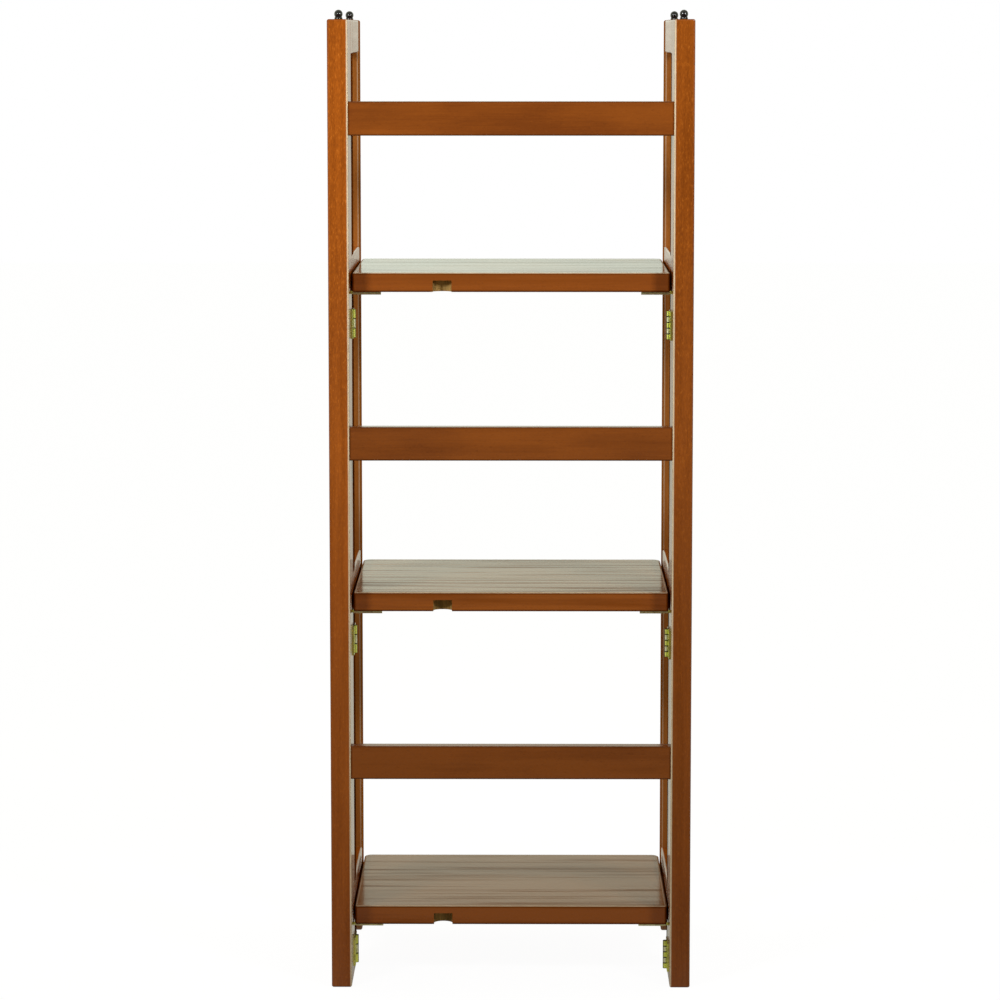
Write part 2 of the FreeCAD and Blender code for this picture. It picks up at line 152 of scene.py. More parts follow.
class BookcaseFittings(bpy.types.PropertyGroup):
    """Metal fittings and stacking pegs."""

    brass: colour("Brass", "Plating of the hinge leaves on the posts", (0.97, 1.0, 0.24))
    brass_pale: colour("Pale brass", "Plating of the hinge leaves on the stiles and of the screws",
                       (1.0, 0.97, 0.68))
    brass_dull: colour("Dull brass", "Brass where it has toned down", (0.46, 0.44, 0.14))
    pivot: colour("Pivot metal", "Toned brass of the shelf pivots", (0.78, 0.72, 0.42))
    steel: colour("Rest metal", "Bronzed steel of the shelf rests", (0.17, 0.14, 0.10))
    peg: colour("Peg", "Black lacquer of the stacking pegs", (0.006, 0.006, 0.007))
    slot_width: length("Drive slot width", "Width of the cross cut in a screw's head", 0.0009)
    slot_depth: length("Drive slot depth", "Depth of the cross cut in a screw's head", 0.0009)
    peg_neck: length("Peg neck", "Radius of a stacking peg at its neck", 0.0034)


class BookcaseStage(bpy.types.PropertyGroup):
    """Floor, light and camera."""

    camera_place: place("Camera place", "Where the camera stands", (0.012, -3.85, 0.94))
    camera_turn: angle("Camera turn", "How far the camera looks to the left", 0.35)
    camera_dip: angle("Camera dip", "How far the camera looks down", 6.955)
    camera_lens: FloatProperty(name="Lens", description="Focal length in millimetres on a 36 mm sensor",
                               default=137.3, unit="CAMERA", min=10.0)
    left_power: power("Left lamp", "Power of the lamp at the left in front", 2.65)
    right_power: power("Right lamp", "Power of the lamp at the right in front", 2.35)
    lamp_spread: angle("Lamp spread", "How far the lamps fan out", 75)
    lamp_size: length("Lamp size", "Length of the sides of each lamp", 0.28)
    lamp_place: place("Lamp place", "Where the right lamp hangs; the left one mirrors it",
                      (0.9, -1.4, 1.25))
    lamp_aim: place("Lamp aim", "Where both lamps point", (0.0, -0.15, 0.86))
    front_level: share("Front level", "Level of the light from the room in front of the case", 0.17)
    back_level: share("Back level", "Level of the light from the room behind the case", 0.65)
    floor: colour("Floor", "Colour of the floor", (0.5, 0.5, 0.5))


# Nodes

def fill(tree, node, inputs):
    """Give each named or numbered input of a node a value or a link."""
    for name, value in inputs.items():
        if isinstance(value, bpy.types.NodeSocket):
            tree.links.new(value, node.inputs[name])
        else:
            node.inputs[name].default_value = value


def add(tree, kind, inputs=None, **settings):
    """Add a node, set it up and fill its inputs."""
    node = tree.nodes.new(kind)
    for name, value in settings.items():
        setattr(node, name, value)
    fill(tree, node, inputs or {})
    return node


def maths(tree, operation, *values, clamp=False):
    return add(tree, "ShaderNodeMath", dict(enumerate(values)), operation=operation,
               use_clamp=clamp).outputs[0]


def vectors(tree, operation, *values):
    return add(tree, "ShaderNodeVectorMath", dict(enumerate(values)), operation=operation).outputs[0]


def axes(tree, vector):
    """The X, Y and Z of a vector, by name or in turn."""
    return add(tree, "ShaderNodeSeparateXYZ", {0: vector}).outputs


def ramped(tree, value, low, high, to_low=0.0, to_high=1.0):
    """A value eased from one range to another."""
    return add(tree, "ShaderNodeMapRange", {0: value, 1: low, 2: high, 3: to_low, 4: to_high},
               interpolation_type="SMOOTHSTEP").outputs[0]


def within(tree, value, low, high):
    """One where a value lies between two bounds, and nought elsewhere."""
    above = maths(tree, "GREATER_THAN", value, low)
    return maths(tree, "MULTIPLY", above, maths(tree, "LESS_THAN", value, high))


def without(tree, value, mask):
    """A value where a mask leaves it."""
    return maths(tree, "MULTIPLY", value, maths(tree, "SUBTRACT", 1.0, mask))


def mixed(tree, factor, first, second, blend="MIX"):
    """Two colours mixed or blended."""
    return add(tree, "ShaderNodeMix", {0: factor, 6: first, 7: second},
               data_type="RGBA", blend_type=blend).outputs[2]


def blended(tree, factor, first, second):
    """Two numbers mixed."""
    return add(tree, "ShaderNodeMix", {0: factor, 2: first, 3: second}).outputs[0]


def noise(tree, vector, scale, detail=2.0, rough=0.5):
    return add(tree, "ShaderNodeTexNoise",
               {"Vector": vector, "Scale": scale, "Detail": detail, "Roughness": rough}).outputs["Fac"]


def bumped(tree, height, distance, strength):
    """Normal of a surface with a fine relief."""
    relief = {"Height": height, "Distance": distance, "Strength": strength}
    return add(tree, "ShaderNodeBump", relief).outputs[0]


def placed(tree, group, inputs):
    """A node group set into a material with its own values."""
    return add(tree, "ShaderNodeGroup", inputs, node_tree=group).outputs


def shade(stain, depth):
    """A stain made darker or lighter by one factor."""
    return [depth * part for part in stain]


def opaque(stain):
    """A stain with the alpha that a colour socket wants."""
    return (*stain, 1.0)


# Node groups. A range names its two ends and then, where they aren't 0 and 1, what these turn into.

def built_once(build):
    """Let a node group be built only the first time that it is asked for."""
    @functools.wraps(build)
    def found(*details):
        name = " ".join((build.__name__.replace("_", " ").capitalize(), *details))
        return bpy.data.node_groups.get(name) or build(name, *details)
    return found


def new_group(name, inputs, outputs):
    """Start a node group. Returns its tree, the sockets that come in and the node where they go out."""
    tree = bpy.data.node_groups.new(name, "ShaderNodeTree")
    for way, sockets in (("INPUT", inputs), ("OUTPUT", outputs)):
        for label, kind in sockets.items():
            tree.interface.new_socket(name=label, in_out=way, socket_type="NodeSocket" + kind)
    return tree, tree.nodes.new("NodeGroupInput").outputs, tree.nodes.new("NodeGroupOutput")


# Noise of each figure of the grain: its scale, detail and roughness.
FIGURES = {
    "cloud": (24.0, 3.0, 0.5),
    "band": (95.0, 3.0, 0.6),
    "streak": (150.0, 4.0, 0.6),
    "fibre": (900.0, 2.0, 0.6),
    "fleck": (900.0, 3.0, 0.6),
    "pore": (1300.0, 2.0, 0.55),
}
MIDDLE = 0.5

# How strongly the finer figures move the tone, the roughness, the lacquer and the relief.
STREAK_TONE = 0.9
FIBRE_TONE = 0.7
FLECK_TONE = 2.2
ROUGHNESS = 0.48
FIBRE_ROUGHNESS = 0.2
STREAK_FILM = 0.8
PORE_FILM = -0.4
STREAK_RELIEF = 0.5

# Where the noise makes pores and glints, and how they tint the stain: pores darker, glints paler as painted
# highlights.
PORE_RANGE = (0.60, 0.74)
PORE_TINT = (0.5, 0.45, 0.45)
GLINT_RANGE = (0.58, 0.76)
GLINT_TINT = (1.25, 1.5, 2.4)


@built_once
def stained_grain(name):
    """Figure of stained wood: clouds, bands, streaks, fibres, painted glints and pores, drawn out along the
    grain.
    """
    tree, given, ending = new_group(
        name,
        {"Position": "Vector", "Grain": "Vector", "Fleck": "Vector", "Light": "Color", "Dark": "Color",
         "Tone": "Float", "Clouds": "Float", "Bands": "Float", "Flecks and glints": "Float", "Pores": "Float",
         "Lacquer": "Float"},
        {"Color": "Color", "Roughness": "Float", "Lacquer": "Float", "Height": "Float"})
    streaked = vectors(tree, "MULTIPLY", given["Position"], given["Grain"])
    flecked = vectors(tree, "MULTIPLY", given["Position"], given["Fleck"])

    def centred(value):
        return maths(tree, "SUBTRACT", value, MIDDLE)

    band, streak, fibre = [centred(noise(tree, streaked, *FIGURES[figure]))
                           for figure in ("band", "streak", "fibre")]
    cloud, fleck, pore = [noise(tree, flecked, *FIGURES[figure]) for figure in ("cloud", "fleck", "pore")]
    tone = maths(tree, "ADD", given["Tone"], MIDDLE)
    for figure, strength in (
            (centred(cloud), given["Clouds"]), (band, given["Bands"]), (streak, STREAK_TONE),
            (fibre, FIBRE_TONE), (centred(fleck), maths(tree, "MULTIPLY", given["Flecks and glints"], FLECK_TONE))):
        tone = maths(tree, "MULTIPLY_ADD", figure, strength, tone)
    stain = mixed(tree, maths(tree, "ADD", tone, 0.0, clamp=True), given["Dark"], given["Light"])

    sunk = maths(tree, "MULTIPLY", ramped(tree, pore, *PORE_RANGE), given["Pores"], clamp=True)
    stain = mixed(tree, 1.0, stain, mixed(tree, sunk, WHITE, opaque(PORE_TINT)), "MULTIPLY")
    # Painted highlight: glints of a paler, yellower stain where the fleck noise peaks.
    shining = mixed(tree, 1.0, given["Light"], opaque(GLINT_TINT), "MULTIPLY")
    glint = maths(tree, "MULTIPLY", ramped(tree, fleck, *GLINT_RANGE), given["Flecks and glints"], clamp=True)

    film = maths(tree, "MULTIPLY_ADD", band, given["Bands"], 1.0)
    film = maths(tree, "MULTIPLY_ADD", maths(tree, "MULTIPLY", streak, STREAK_FILM), given["Bands"], film)
    film = maths(tree, "MULTIPLY_ADD", sunk, PORE_FILM, film)
    relief = maths(tree, "MULTIPLY_ADD", streak, STREAK_RELIEF, fibre)
    fill(tree, ending, {
        "Color": mixed(tree, glint, stain, shining),
        "Roughness": maths(tree, "MULTIPLY_ADD", fibre, FIBRE_ROUGHNESS, ROUGHNESS),
        "Lacquer": maths(tree, "MULTIPLY", film, given["Lacquer"], clamp=True),
        "Height": maths(tree, "SUBTRACT", relief, sunk)})
    return tree


# End grain: which faces lie across the grain, by their normal, and how dark their rings are.
END_FACES = (0.75, 0.9)
RING_TINT = (0.75, 0.75, 0.75)
RING_SHARE = 0.5


@built_once
def end_grain(name, way):
    """Darker stain where the cut ends of the fibres drink it, on faces across a grain along X, Y or Z."""
    tree, given, ending = new_group(
        name, {"Position": "Vector", "Normal": "Vector", "Stain": "Color", "Dark": "Color"},
        {"Color": "Color"})
    facing = maths(tree, "ABSOLUTE", axes(tree, given["Normal"])[way])
    rings = add(tree, "ShaderNodeTexWave",
                {"Vector": given["Position"], "Scale": 120.0, "Distortion": 6.0, "Detail": 2.0,
                 "Detail Scale": 2.0}, wave_type="RINGS", rings_direction=way).outputs["Fac"]
    deep = mixed(tree, 1.0, given["Dark"], opaque(RING_TINT), "MULTIPLY")
    ends = mixed(tree, maths(tree, "MULTIPLY", rings, RING_SHARE), deep, given["Dark"])
    fill(tree, ending, {"Color": mixed(tree, ramped(tree, facing, *END_FACES), given["Stain"], ends)})
    return tree


# Edges: how their mask fades over its width, and the patches in it, for the painted highlight and the slats'
# darker edges.
EDGE_FADE = (0.25, 1.0, 1.0, 0.0)
EDGE_PATCH_SCALE = 70.0
EDGE_PATCH_DETAIL = 3.0
EDGE_PATCHES = (0.3, 0.6, 0.85, 1.0)


@built_once
def rubbed_edges(name):
    """Mask of the edges of a box-shaped piece, in patches, where painted highlights and darker edge colours
    go.
    """
    tree, given, ending = new_group(
        name, {"Position": "Vector", "Low": "Vector", "High": "Vector", "Width": "Float"},
        {"Mask": "Float"})
    near = vectors(tree, "MINIMUM", vectors(tree, "SUBTRACT", given["Position"], given["Low"]),
                   vectors(tree, "SUBTRACT", given["High"], given["Position"]))
    x, y, z = axes(tree, near)
    edge = maths(tree, "MINIMUM", maths(tree, "MAXIMUM", x, y),
                 maths(tree, "MINIMUM", maths(tree, "MAXIMUM", y, z), maths(tree, "MAXIMUM", x, z)))
    mask = ramped(tree, maths(tree, "DIVIDE", edge, given["Width"]), *EDGE_FADE)
    patch = ramped(tree, noise(tree, given["Position"], EDGE_PATCH_SCALE, EDGE_PATCH_DETAIL), *EDGE_PATCHES)
    fill(tree, ending, {"Mask": maths(tree, "MULTIPLY", mask, patch)})
    return tree


# Matt sides: which faces look inward, by their normal, and how far beyond itself a shelf's painted shadow
# reaches on them.
INNER_FACES = 0.7
SHELF_SHADOW_MARGIN = 0.002


@built_once
def matt_side(name, side):
    """Mask of the matt parts of a side's inner face: a painted shadow where the shelf ends pass it, and all
    that is Whole.

    Lapped leaves the levels where rails meet a stile out of the whole, and Reach what lies nearer.
    """
    tree, given, ending = new_group(
        name, {"Position": "Vector", "Normal": "Vector", "Whole": "Float", "Lapped": "Float",
               "Reach": "Float"}, {"Mask": "Float"})
    _, y, z = axes(tree, given["Position"])
    mask = given["Whole"]
    for low, high in [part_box(f"{side}_{rail}_rail") for rail in RAILS]:
        lap = maths(tree, "MULTIPLY", within(tree, z, low.z, high.z), given["Lapped"])
        mask = maths(tree, "SUBTRACT", mask, lap, clamp=True)
    mask = maths(tree, "MULTIPLY", mask, maths(tree, "GREATER_THAN", y, given["Reach"]))
    # Painted shadow: a band on the inner face where each shelf's end passes it.
    for low, high in [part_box(level + "_shelf") for level in LEVELS]:
        behind = maths(tree, "GREATER_THAN", y, low.y - SHELF_SHADOW_MARGIN)
        shelf_shadow = maths(tree, "MULTIPLY", within(tree, z, low.z - SHELF_SHADOW_MARGIN, high.z), behind)
        mask = maths(tree, "MAXIMUM", mask, shelf_shadow)
    inward = maths(tree, "MULTIPLY", axes(tree, given["Normal"])["X"], INWARD[side])
    inside = maths(tree, "GREATER_THAN", inward, INNER_FACES)
    fill(tree, ending, {"Mask": maths(tree, "MULTIPLY", mask, inside)})
    return tree


# Seams between staves, by the distance from them in stave widths.
SEAM_FADE = (0.0, 0.012, 0.35, 0.0)


@built_once
def glued_staves(name):
    """Boards that a shelf is glued from: a place and a number of each one's own, and a mask of the seams."""
    tree, given, ending = new_group(
        name, {"Position": "Vector", "Start": "Float", "Width": "Float", "Seed": "Float"},
        {"Place": "Vector", "Pick": "Float", "Seam": "Float"})
    depth = maths(tree, "SUBTRACT", axes(tree, given["Position"])["Y"], given["Start"])
    stave = maths(tree, "DIVIDE", depth, given["Width"])
    seed = maths(tree, "ADD", maths(tree, "FLOOR", stave), given["Seed"])
    pick = add(tree, "ShaderNodeTexWhiteNoise", {"W": seed}, noise_dimensions="1D").outputs
    seam = maths(tree, "ABSOLUTE", maths(tree, "SUBTRACT", stave, maths(tree, "ROUND", stave)))
    fill(tree, ending, {
        "Place": vectors(tree, "ADD", given["Position"], pick["Color"]),
        "Pick": pick["Value"],
        "Seam": ramped(tree, seam, *SEAM_FADE)})
    return tree


# Bounds of a shelf's notch: along X, and along Y and Z from the shelf's low corner.
NOTCH = ((-0.0790, -0.0575), (0.0003, 0.0195), (0.0003, 0.0135))


@built_once
def inside_notch(name):
    """Mask of the inside of a shelf's notch."""
    tree, given, ending = new_group(name, {"Position": "Vector", "Low": "Vector"}, {"Mask": "Float"})
    offset = vectors(tree, "SUBTRACT", given["Position"], given["Low"])
    inside = [within(tree, at, low, high) for at, (low, high) in zip(axes(tree, offset), NOTCH)]
    across = maths(tree, "MULTIPLY", inside[0], inside[1])
    fill(tree, ending, {"Mask": maths(tree, "MULTIPLY", across, inside[2])})
    return tree


# Scuffs: patches, and a finer noise over them.
SCUFF_DETAIL = 4.0
SCUFF_BREAKUP = 0.6
SCUFF_RANGE = (0.42, 0.66)
SCUFF_ROUGHNESS = 0.18
SCUFF_RELIEF = 0.5
FINE_SCALE = 9.0
FINE_ROUGHNESS = 0.12
LEAST_ROUGHNESS = 0.04


@built_once
def fine_scuffs(name):
    """Small scuffs and toned patches on metal and lacquer: a mask, a roughness and a height."""
    tree, given, ending = new_group(
        name, {"Position": "Vector", "Scale": "Float", "Gloss": "Float", "Wear": "Float"},
        {"Mask": "Float", "Roughness": "Float", "Height": "Float"})
    patch = noise(tree, given["Position"], given["Scale"], SCUFF_DETAIL, SCUFF_BREAKUP)
    fine = noise(tree, given["Position"], maths(tree, "MULTIPLY", given["Scale"], FINE_SCALE))
    mask = maths(tree, "MULTIPLY", ramped(tree, patch, *SCUFF_RANGE), given["Wear"])
    rough = maths(tree, "MULTIPLY_ADD", mask, SCUFF_ROUGHNESS, given["Gloss"])
    rough = maths(tree, "MULTIPLY_ADD", maths(tree, "SUBTRACT", fine, MIDDLE), FINE_ROUGHNESS, rough)
    fill(tree, ending, {
        "Mask": mask,
        "Roughness": maths(tree, "MAXIMUM", rough, LEAST_ROUGHNESS),
        "Height": maths(tree, "MULTIPLY_ADD", patch, SCUFF_RELIEF, fine)})
    return tree


# Dark on a hinge: dirt in the gaps between its knuckles, and painted dark reflection on the flanks of its
# barrel by their normal.
GAP_GRIME = (0.0003, 0.0008, 1.0, 0.0)
FLANK_REFLECTION = (0.6, 0.9, 0.0, 0.8)


@built_once
def knuckle_grime(name):
    """Mask of a hinge leaf's knuckle-gap dirt and painted dark reflection on its barrel, which stands inward
    of its plate's Face.
    """
    tree, given, ending = new_group(
        name, {"Position": "Vector", "Normal": "Vector", "Foot": "Float", "Pitch": "Float", "Face": "Float"},
        {"Mask": "Float"})
    x, _, z = axes(tree, given["Position"])
    rise = maths(tree, "DIVIDE", maths(tree, "SUBTRACT", z, given["Foot"]), given["Pitch"])
    joint = maths(tree, "ABSOLUTE", maths(tree, "SUBTRACT", rise, maths(tree, "ROUND", rise)))
    gap = ramped(tree, maths(tree, "MULTIPLY", joint, given["Pitch"]), *GAP_GRIME)
    # Painted reflection: the barrel's flanks are darkened where they turn sideways.
    flank = ramped(tree, maths(tree, "ABSOLUTE", axes(tree, given["Normal"])["X"]), *FLANK_REFLECTION)
    barrel = maths(tree, "LESS_THAN", maths(tree, "ABSOLUTE", x), given["Face"])
    fill(tree, ending, {"Mask": maths(tree, "MULTIPLY", maths(tree, "MAXIMUM", gap, flank), barrel)})
    return tree


# Materials

# How much the noise is squeezed along the grain, for its streaks and for its flecks.
SQUEEZE = {"Grain": 0.035, "Fleck": 0.3}

# Which way a face is turned, by its normal: up, or to the slats.
UP_FACES = (0.5, 0.9)
SLAT_FACES = (-0.9, -0.5, 1.0, 0.0)

# Uprights have less fleck figure and fewer painted glints near the floor, as painted shade where less light
# falls.
FLECK_AND_GLINT_RISE = (0.3, 0.8)
LOW_FLECKS_AND_GLINTS = 0.4

# A metre puts a bound out of reach: of edges that get no painted highlight, or of faces that are matt all
# over.
FAR = 1.0

# Shine of the wood under its lacquer, and depth of the darker colours as shares of the stains they come from.
WOOD_SHINE = 0.03
SEAM_SHADE = 0.5
# The shelves' edges that don't face up are darker, as painted shade on their rounding.
SHELF_EDGE_PAINTED_SHADE = 0.35
SLAT_EDGE_SHADE = 0.4
# The hinge stiles' inner faces are darker.
STILE_SHADE = 0.5
NOTCH_SHADE = 0.45
DOWEL_SHADE = 0.6

# Tone of the slats and shelves, and the shelves' own streaks, staves, painted edge highlight and shade, and
# lacquer.
LEVEL_TONE = {"lower": 0.35, "middle": 0.0, "upper": -0.1}
SHELF_STREAKS = {"lower": 2.6, "middle": 3.2, "upper": 1.6}
LEVEL_SEED = 10.0
STAVE_TONE = 0.2
SHELF_EDGE_WIDTH = 1.3
SHELF_EDGE_AMOUNT = 0.8
SHELF_LACQUER = 1.06

# Fittings: knuckle dirt and painted dark reflection, how far off the wood a hinge's barrel starts, and tones
# as shares of the fresh finish.
GRIME_AND_REFLECTION = (0.02, 0.016, 0.006)
BARREL_START = 0.0016
PIVOT_SHADE = 0.6
REST_SHADE = 0.5
PEG_WEAR = 2.2


def emptied(owner):
    """Node tree of a material or a world, with nothing in it."""
    owner.use_nodes = True
    owner.node_tree.nodes.clear()
    return owner.node_tree


def new_material(name):
    """A plain material. Returns it, its tree, its shader and the position and normal of its surface."""
    material = bpy.data.materials.new(name)
    tree = emptied(material)
    shader = tree.nodes.new("ShaderNodeBsdfPrincipled")
    add(tree, "ShaderNodeOutputMaterial", {"Surface": shader.outputs[0]})
    coords = tree.nodes.new("ShaderNodeTexCoord").outputs
    return material, tree, shader, {"Position": coords["Object"], "Normal": coords["Normal"]}


def grain_along(way):
    """Scales of the noise for a grain that runs along X, Y or Z."""
    return {name: [squeeze if axis == way else 1.0 for axis in "XYZ"] for name, squeeze in SQUEEZE.items()}


def matt_inside(side, whole=False, lapped=False, reach=-FAR):
    """Where a side's inner face is matt and takes another colour, with painted shadow by the shelf ends, as a
    node group and its values.
    """
    return matt_side(side), {"Whole": float(whole), "Lapped": float(lapped), "Reach": reach}


def lacquered(tree, shader, stain, figure, film, shine=WOOD_SHINE):
    """Lay stain, its clear satin lacquer and the relief of the grain on a shader."""
    fill(tree, shader, {
        "Base Color": stain, "Roughness": figure["Roughness"], "Coat Weight": film,
        "Coat Roughness": 0.14, "Coat IOR": 1.45, "Specular IOR Level": shine,
        "Normal": bumped(tree, figure["Height"], distance=0.00005, strength=0.5)})


def stained_wood(piece, way, light, dark, tone=0.0, clouds=0.8, bands=0.5, flecks_and_glints=0.15, lacquer=None,
                 edge_amount=0.15, plain_ends=(), dark_edges=None, matt=None, inner=None, dusty=False, glare_stains=None):
    """Stained and lacquered wood of one piece, whose grain runs along X, Y or Z.

    plain_ends names the ends of the piece whose edges get no painted highlight, such as -X. dark_edges is a
    darker colour for the edges in place of the painted highlight, and takes their lacquer off. matt is where
    the wood is bare of lacquer, from matt_inside, and inner is its colour there. dusty takes the gloss
    off its top. glare_stains is the light and dark painted reflection stain of the face turned to the slats.
    """
    wood = bpy.context.scene.bookcase_wood
    low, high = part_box(piece)
    material, tree, shader, surface = new_material(piece + "_wood")
    facing = axes(tree, surface["Normal"])
    # Painted shade: fewer glints and less fleck figure low on the uprights.
    if way == "Z":
        height = axes(tree, surface["Position"])["Z"]
        flecks_and_glints = ramped(tree, height, *FLECK_AND_GLINT_RISE, LOW_FLECKS_AND_GLINTS * flecks_and_glints, flecks_and_glints)
    stains = [opaque(light), opaque(dark)]
    # Painted reflection: the face turned to the slats takes a paler copy of the stain that stands in for the
    # glare of the room on it.
    if glare_stains:
        glare_facing = ramped(tree, facing["Y"], *SLAT_FACES)
        stains = [mixed(tree, glare_facing, lit, opaque(away)) for lit, away in zip(stains, glare_stains)]
    figure = placed(tree, stained_grain(), {
        "Position": surface["Position"], **grain_along(way), "Light": stains[0], "Dark": stains[1],
        "Tone": tone, "Clouds": clouds, "Bands": bands, "Flecks and glints": flecks_and_glints, "Pores": wood.pores,
        "Lacquer": wood.lacquer if lacquer is None else lacquer})
    stain = placed(tree, end_grain(way), {
        **surface, "Stain": figure["Color"], "Dark": opaque(dark)})["Color"]
    film = figure["Lacquer"]
    # Painted highlight: pale cream along the edges of all but the plain ends, standing in for the glare on
    # the rounded edges; the slats take their darker edge colour there instead.
    edge = placed(tree, rubbed_edges(), {
        "Position": surface["Position"], "Width": wood.rub_width,
        "Low": [at - FAR * ("-" + axis in plain_ends) for axis, at in zip("XYZ", low)],
        "High": [at + FAR * ("+" + axis in plain_ends) for axis, at in zip("XYZ", high)]})["Mask"]
    edge = maths(tree, "MULTIPLY", edge, edge_amount)
    stain = mixed(tree, edge, stain, opaque(dark_edges or wood.rubbed))
    if dark_edges:
        film = without(tree, film, edge)
    # Matt parts take the inner colour: on the posts and rails only the painted shadow where the shelf ends
    # pass, on the stiles the whole inner face as well.
    if matt:
        group, extent = matt
        mask = placed(tree, group, {**surface, **extent})["Mask"]
        stain = mixed(tree, mask, stain, opaque(inner))
        film = without(tree, film, mask)
    if dusty:
        film = without(tree, film, ramped(tree, facing["Z"], *UP_FACES))
    lacquered(tree, shader, stain, figure, film, 0.0 if matt else WOOD_SHINE)
    return material


def shelf_wood(level):
    """Glued staves with grain along the shelf, and bare wood inside the notch of its near edge."""
    wood = bpy.context.scene.bookcase_wood
    low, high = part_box(level + "_shelf")
    material, tree, shader, surface = new_material(level + "_shelf_wood")
    staves = placed(tree, glued_staves(), {
        "Position": surface["Position"], "Start": low.y, "Width": wood.stave, "Seed": LEVEL_SEED * low.z})
    # Painted reflection: faces that look up take the top colours, which stand in for the glare on them.
    upward = ramped(tree, axes(tree, surface["Normal"])["Z"], *UP_FACES)
    tone = LEVEL_TONE[level]
    figure = placed(tree, stained_grain(), {
        "Position": staves["Place"], **grain_along("X"),
        "Light": mixed(tree, upward, opaque(wood.shelf_light), opaque(wood.top_light)),
        "Dark": mixed(tree, upward, opaque(wood.shelf_dark), opaque(wood.top_dark)),
        "Tone": ramped(tree, staves["Pick"], 0.0, 1.0, tone - STAVE_TONE, tone + STAVE_TONE),
        "Clouds": 0.8, "Bands": SHELF_STREAKS[level], "Flecks and glints": 0.0, "Pores": wood.pores,
        "Lacquer": SHELF_LACQUER * wood.lacquer})
    stain = mixed(tree, staves["Seam"], figure["Color"], opaque(shade(wood.shelf_dark, SEAM_SHADE)))
    stain = placed(tree, end_grain("X"), {
        **surface, "Stain": stain, "Dark": opaque(wood.shelf_dark)})["Color"]
    # Painted highlight and shade on the shelf's edges: pale cream where they face up, a darker stain on the
    # rest.
    edge = placed(tree, rubbed_edges(), {
        "Position": surface["Position"], "Low": low, "High": high,
        "Width": SHELF_EDGE_WIDTH * wood.rub_width})["Mask"]
    edge_light_and_shade = mixed(tree, upward, opaque(shade(wood.shelf_dark, SHELF_EDGE_PAINTED_SHADE)), opaque(wood.rubbed))
    stain = mixed(tree, maths(tree, "MULTIPLY", edge, SHELF_EDGE_AMOUNT), stain, edge_light_and_shade)
    hollow = placed(tree, inside_notch(), {
        "Position": surface["Position"], "Low": (0.0, low.y, low.z)})["Mask"]
    raw = placed(tree, stained_grain(), {
        "Position": surface["Position"], **grain_along("Z"), "Light": opaque(wood.bare),
        "Dark": opaque(shade(wood.bare, NOTCH_SHADE)), "Tone": 0.1, "Clouds": 1.0, "Bands": 3.0,
        "Flecks and glints": 0.3, "Pores": wood.pores, "Lacquer": 0.0})
    film = without(tree, figure["Lacquer"], maths(tree, "MAXIMUM", hollow, edge))
    lacquered(tree, shader, mixed(tree, hollow, stain, raw["Color"]), figure, film)
    return material


def metal(name, bright, dull, gloss, wear, knuckles=0):
    """Plated or bronzed metal with toned patches and fine scuffs, and dirt and painted dark reflection on a
    hinge's knuckles.
    """
    material, tree, shader, surface = new_material(name + "_metal")
    scuffs = placed(tree, fine_scuffs(), {
        "Position": surface["Position"], "Scale": 260.0, "Gloss": gloss, "Wear": wear})
    plate = mixed(tree, scuffs["Mask"], opaque(bright), opaque(dull))
    if knuckles:
        # Dirt in the knuckle gaps and painted dark reflection on the barrel's flanks.
        low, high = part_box(name)
        grime_and_reflection = placed(tree, knuckle_grime(), {
            **surface, "Foot": low.z, "Pitch": (high.z - low.z) / knuckles,
            "Face": max(abs(low.x), abs(high.x)) - BARREL_START})["Mask"]
        plate = mixed(tree, grime_and_reflection, plate, opaque(GRIME_AND_REFLECTION))
    fill(tree, shader, {
        "Base Color": plate, "Roughness": scuffs["Roughness"], "Metallic": 1.0,
        "Normal": bumped(tree, scuffs["Height"], distance=0.00001, strength=0.2)})
    return material


def peg_lacquer():
    """Glossy black lacquer with faint turning scuffs."""
    black = bpy.context.scene.bookcase_fittings.peg
    material, tree, shader, surface = new_material("peg_lacquer")
    scuffs = placed(tree, fine_scuffs(), {
        "Position": surface["Position"], "Scale": 180.0, "Gloss": 0.05, "Wear": 0.2})
    fill(tree, shader, {
        "Base Color": mixed(tree, scuffs["Mask"], opaque(black), opaque(shade(black, PEG_WEAR))),
        "Roughness": scuffs["Roughness"], "Coat Weight": 0.9, "Coat IOR": 1.6, "Coat Roughness": 0.05,
        "Specular IOR Level": 0.2,
        "Normal": bumped(tree, scuffs["Height"], distance=0.00002, strength=0.2)})
    return material


def dress(names, material):
    """Give frame pieces a finish."""
    for name in names:
        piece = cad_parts[name]
        if not piece.material_slots:
            piece.data.materials.append(material)
        for slot in piece.material_slots:
            slot.material = material


# Shapes

WELD = 1e-6
SHARP_ANGLE = math.radians(35)

# A screw from the face of its head to its tip, as shares of the head's radius or of the whole length.
SCREW_SIDES = 32
FACE_SHARE = 0.93
FACE_BEVEL = 0.00015
HEAD_SHARE = 0.5
SHANK_SHARE = 0.5
POINT_SHARE = 0.8
TIP_SHARE = 0.1
MOUTH_SHARE = 0.58
FOOT_SHARE = 0.34
SLOT_TAPER = 0.8
END_MARGIN = 1e-5

# A peg: its stem and neck, and its collar as shares of the ball's radius at heights above the post.
PEG_SIDES = 40
STEM_SHARE = 0.9
STEM_TOP = -0.0005
COLLAR = ((0.86, -0.0004), (0.93, 0.0003), (0.95, 0.0009), (0.92, 0.0015), (0.85, 0.0019))
NECK_HEIGHT = 0.0022
NECK_EASE = 0.05
BALL_STEPS = 18
BALL_GAP = 1e-5
CROWN_SHARE = 0.02


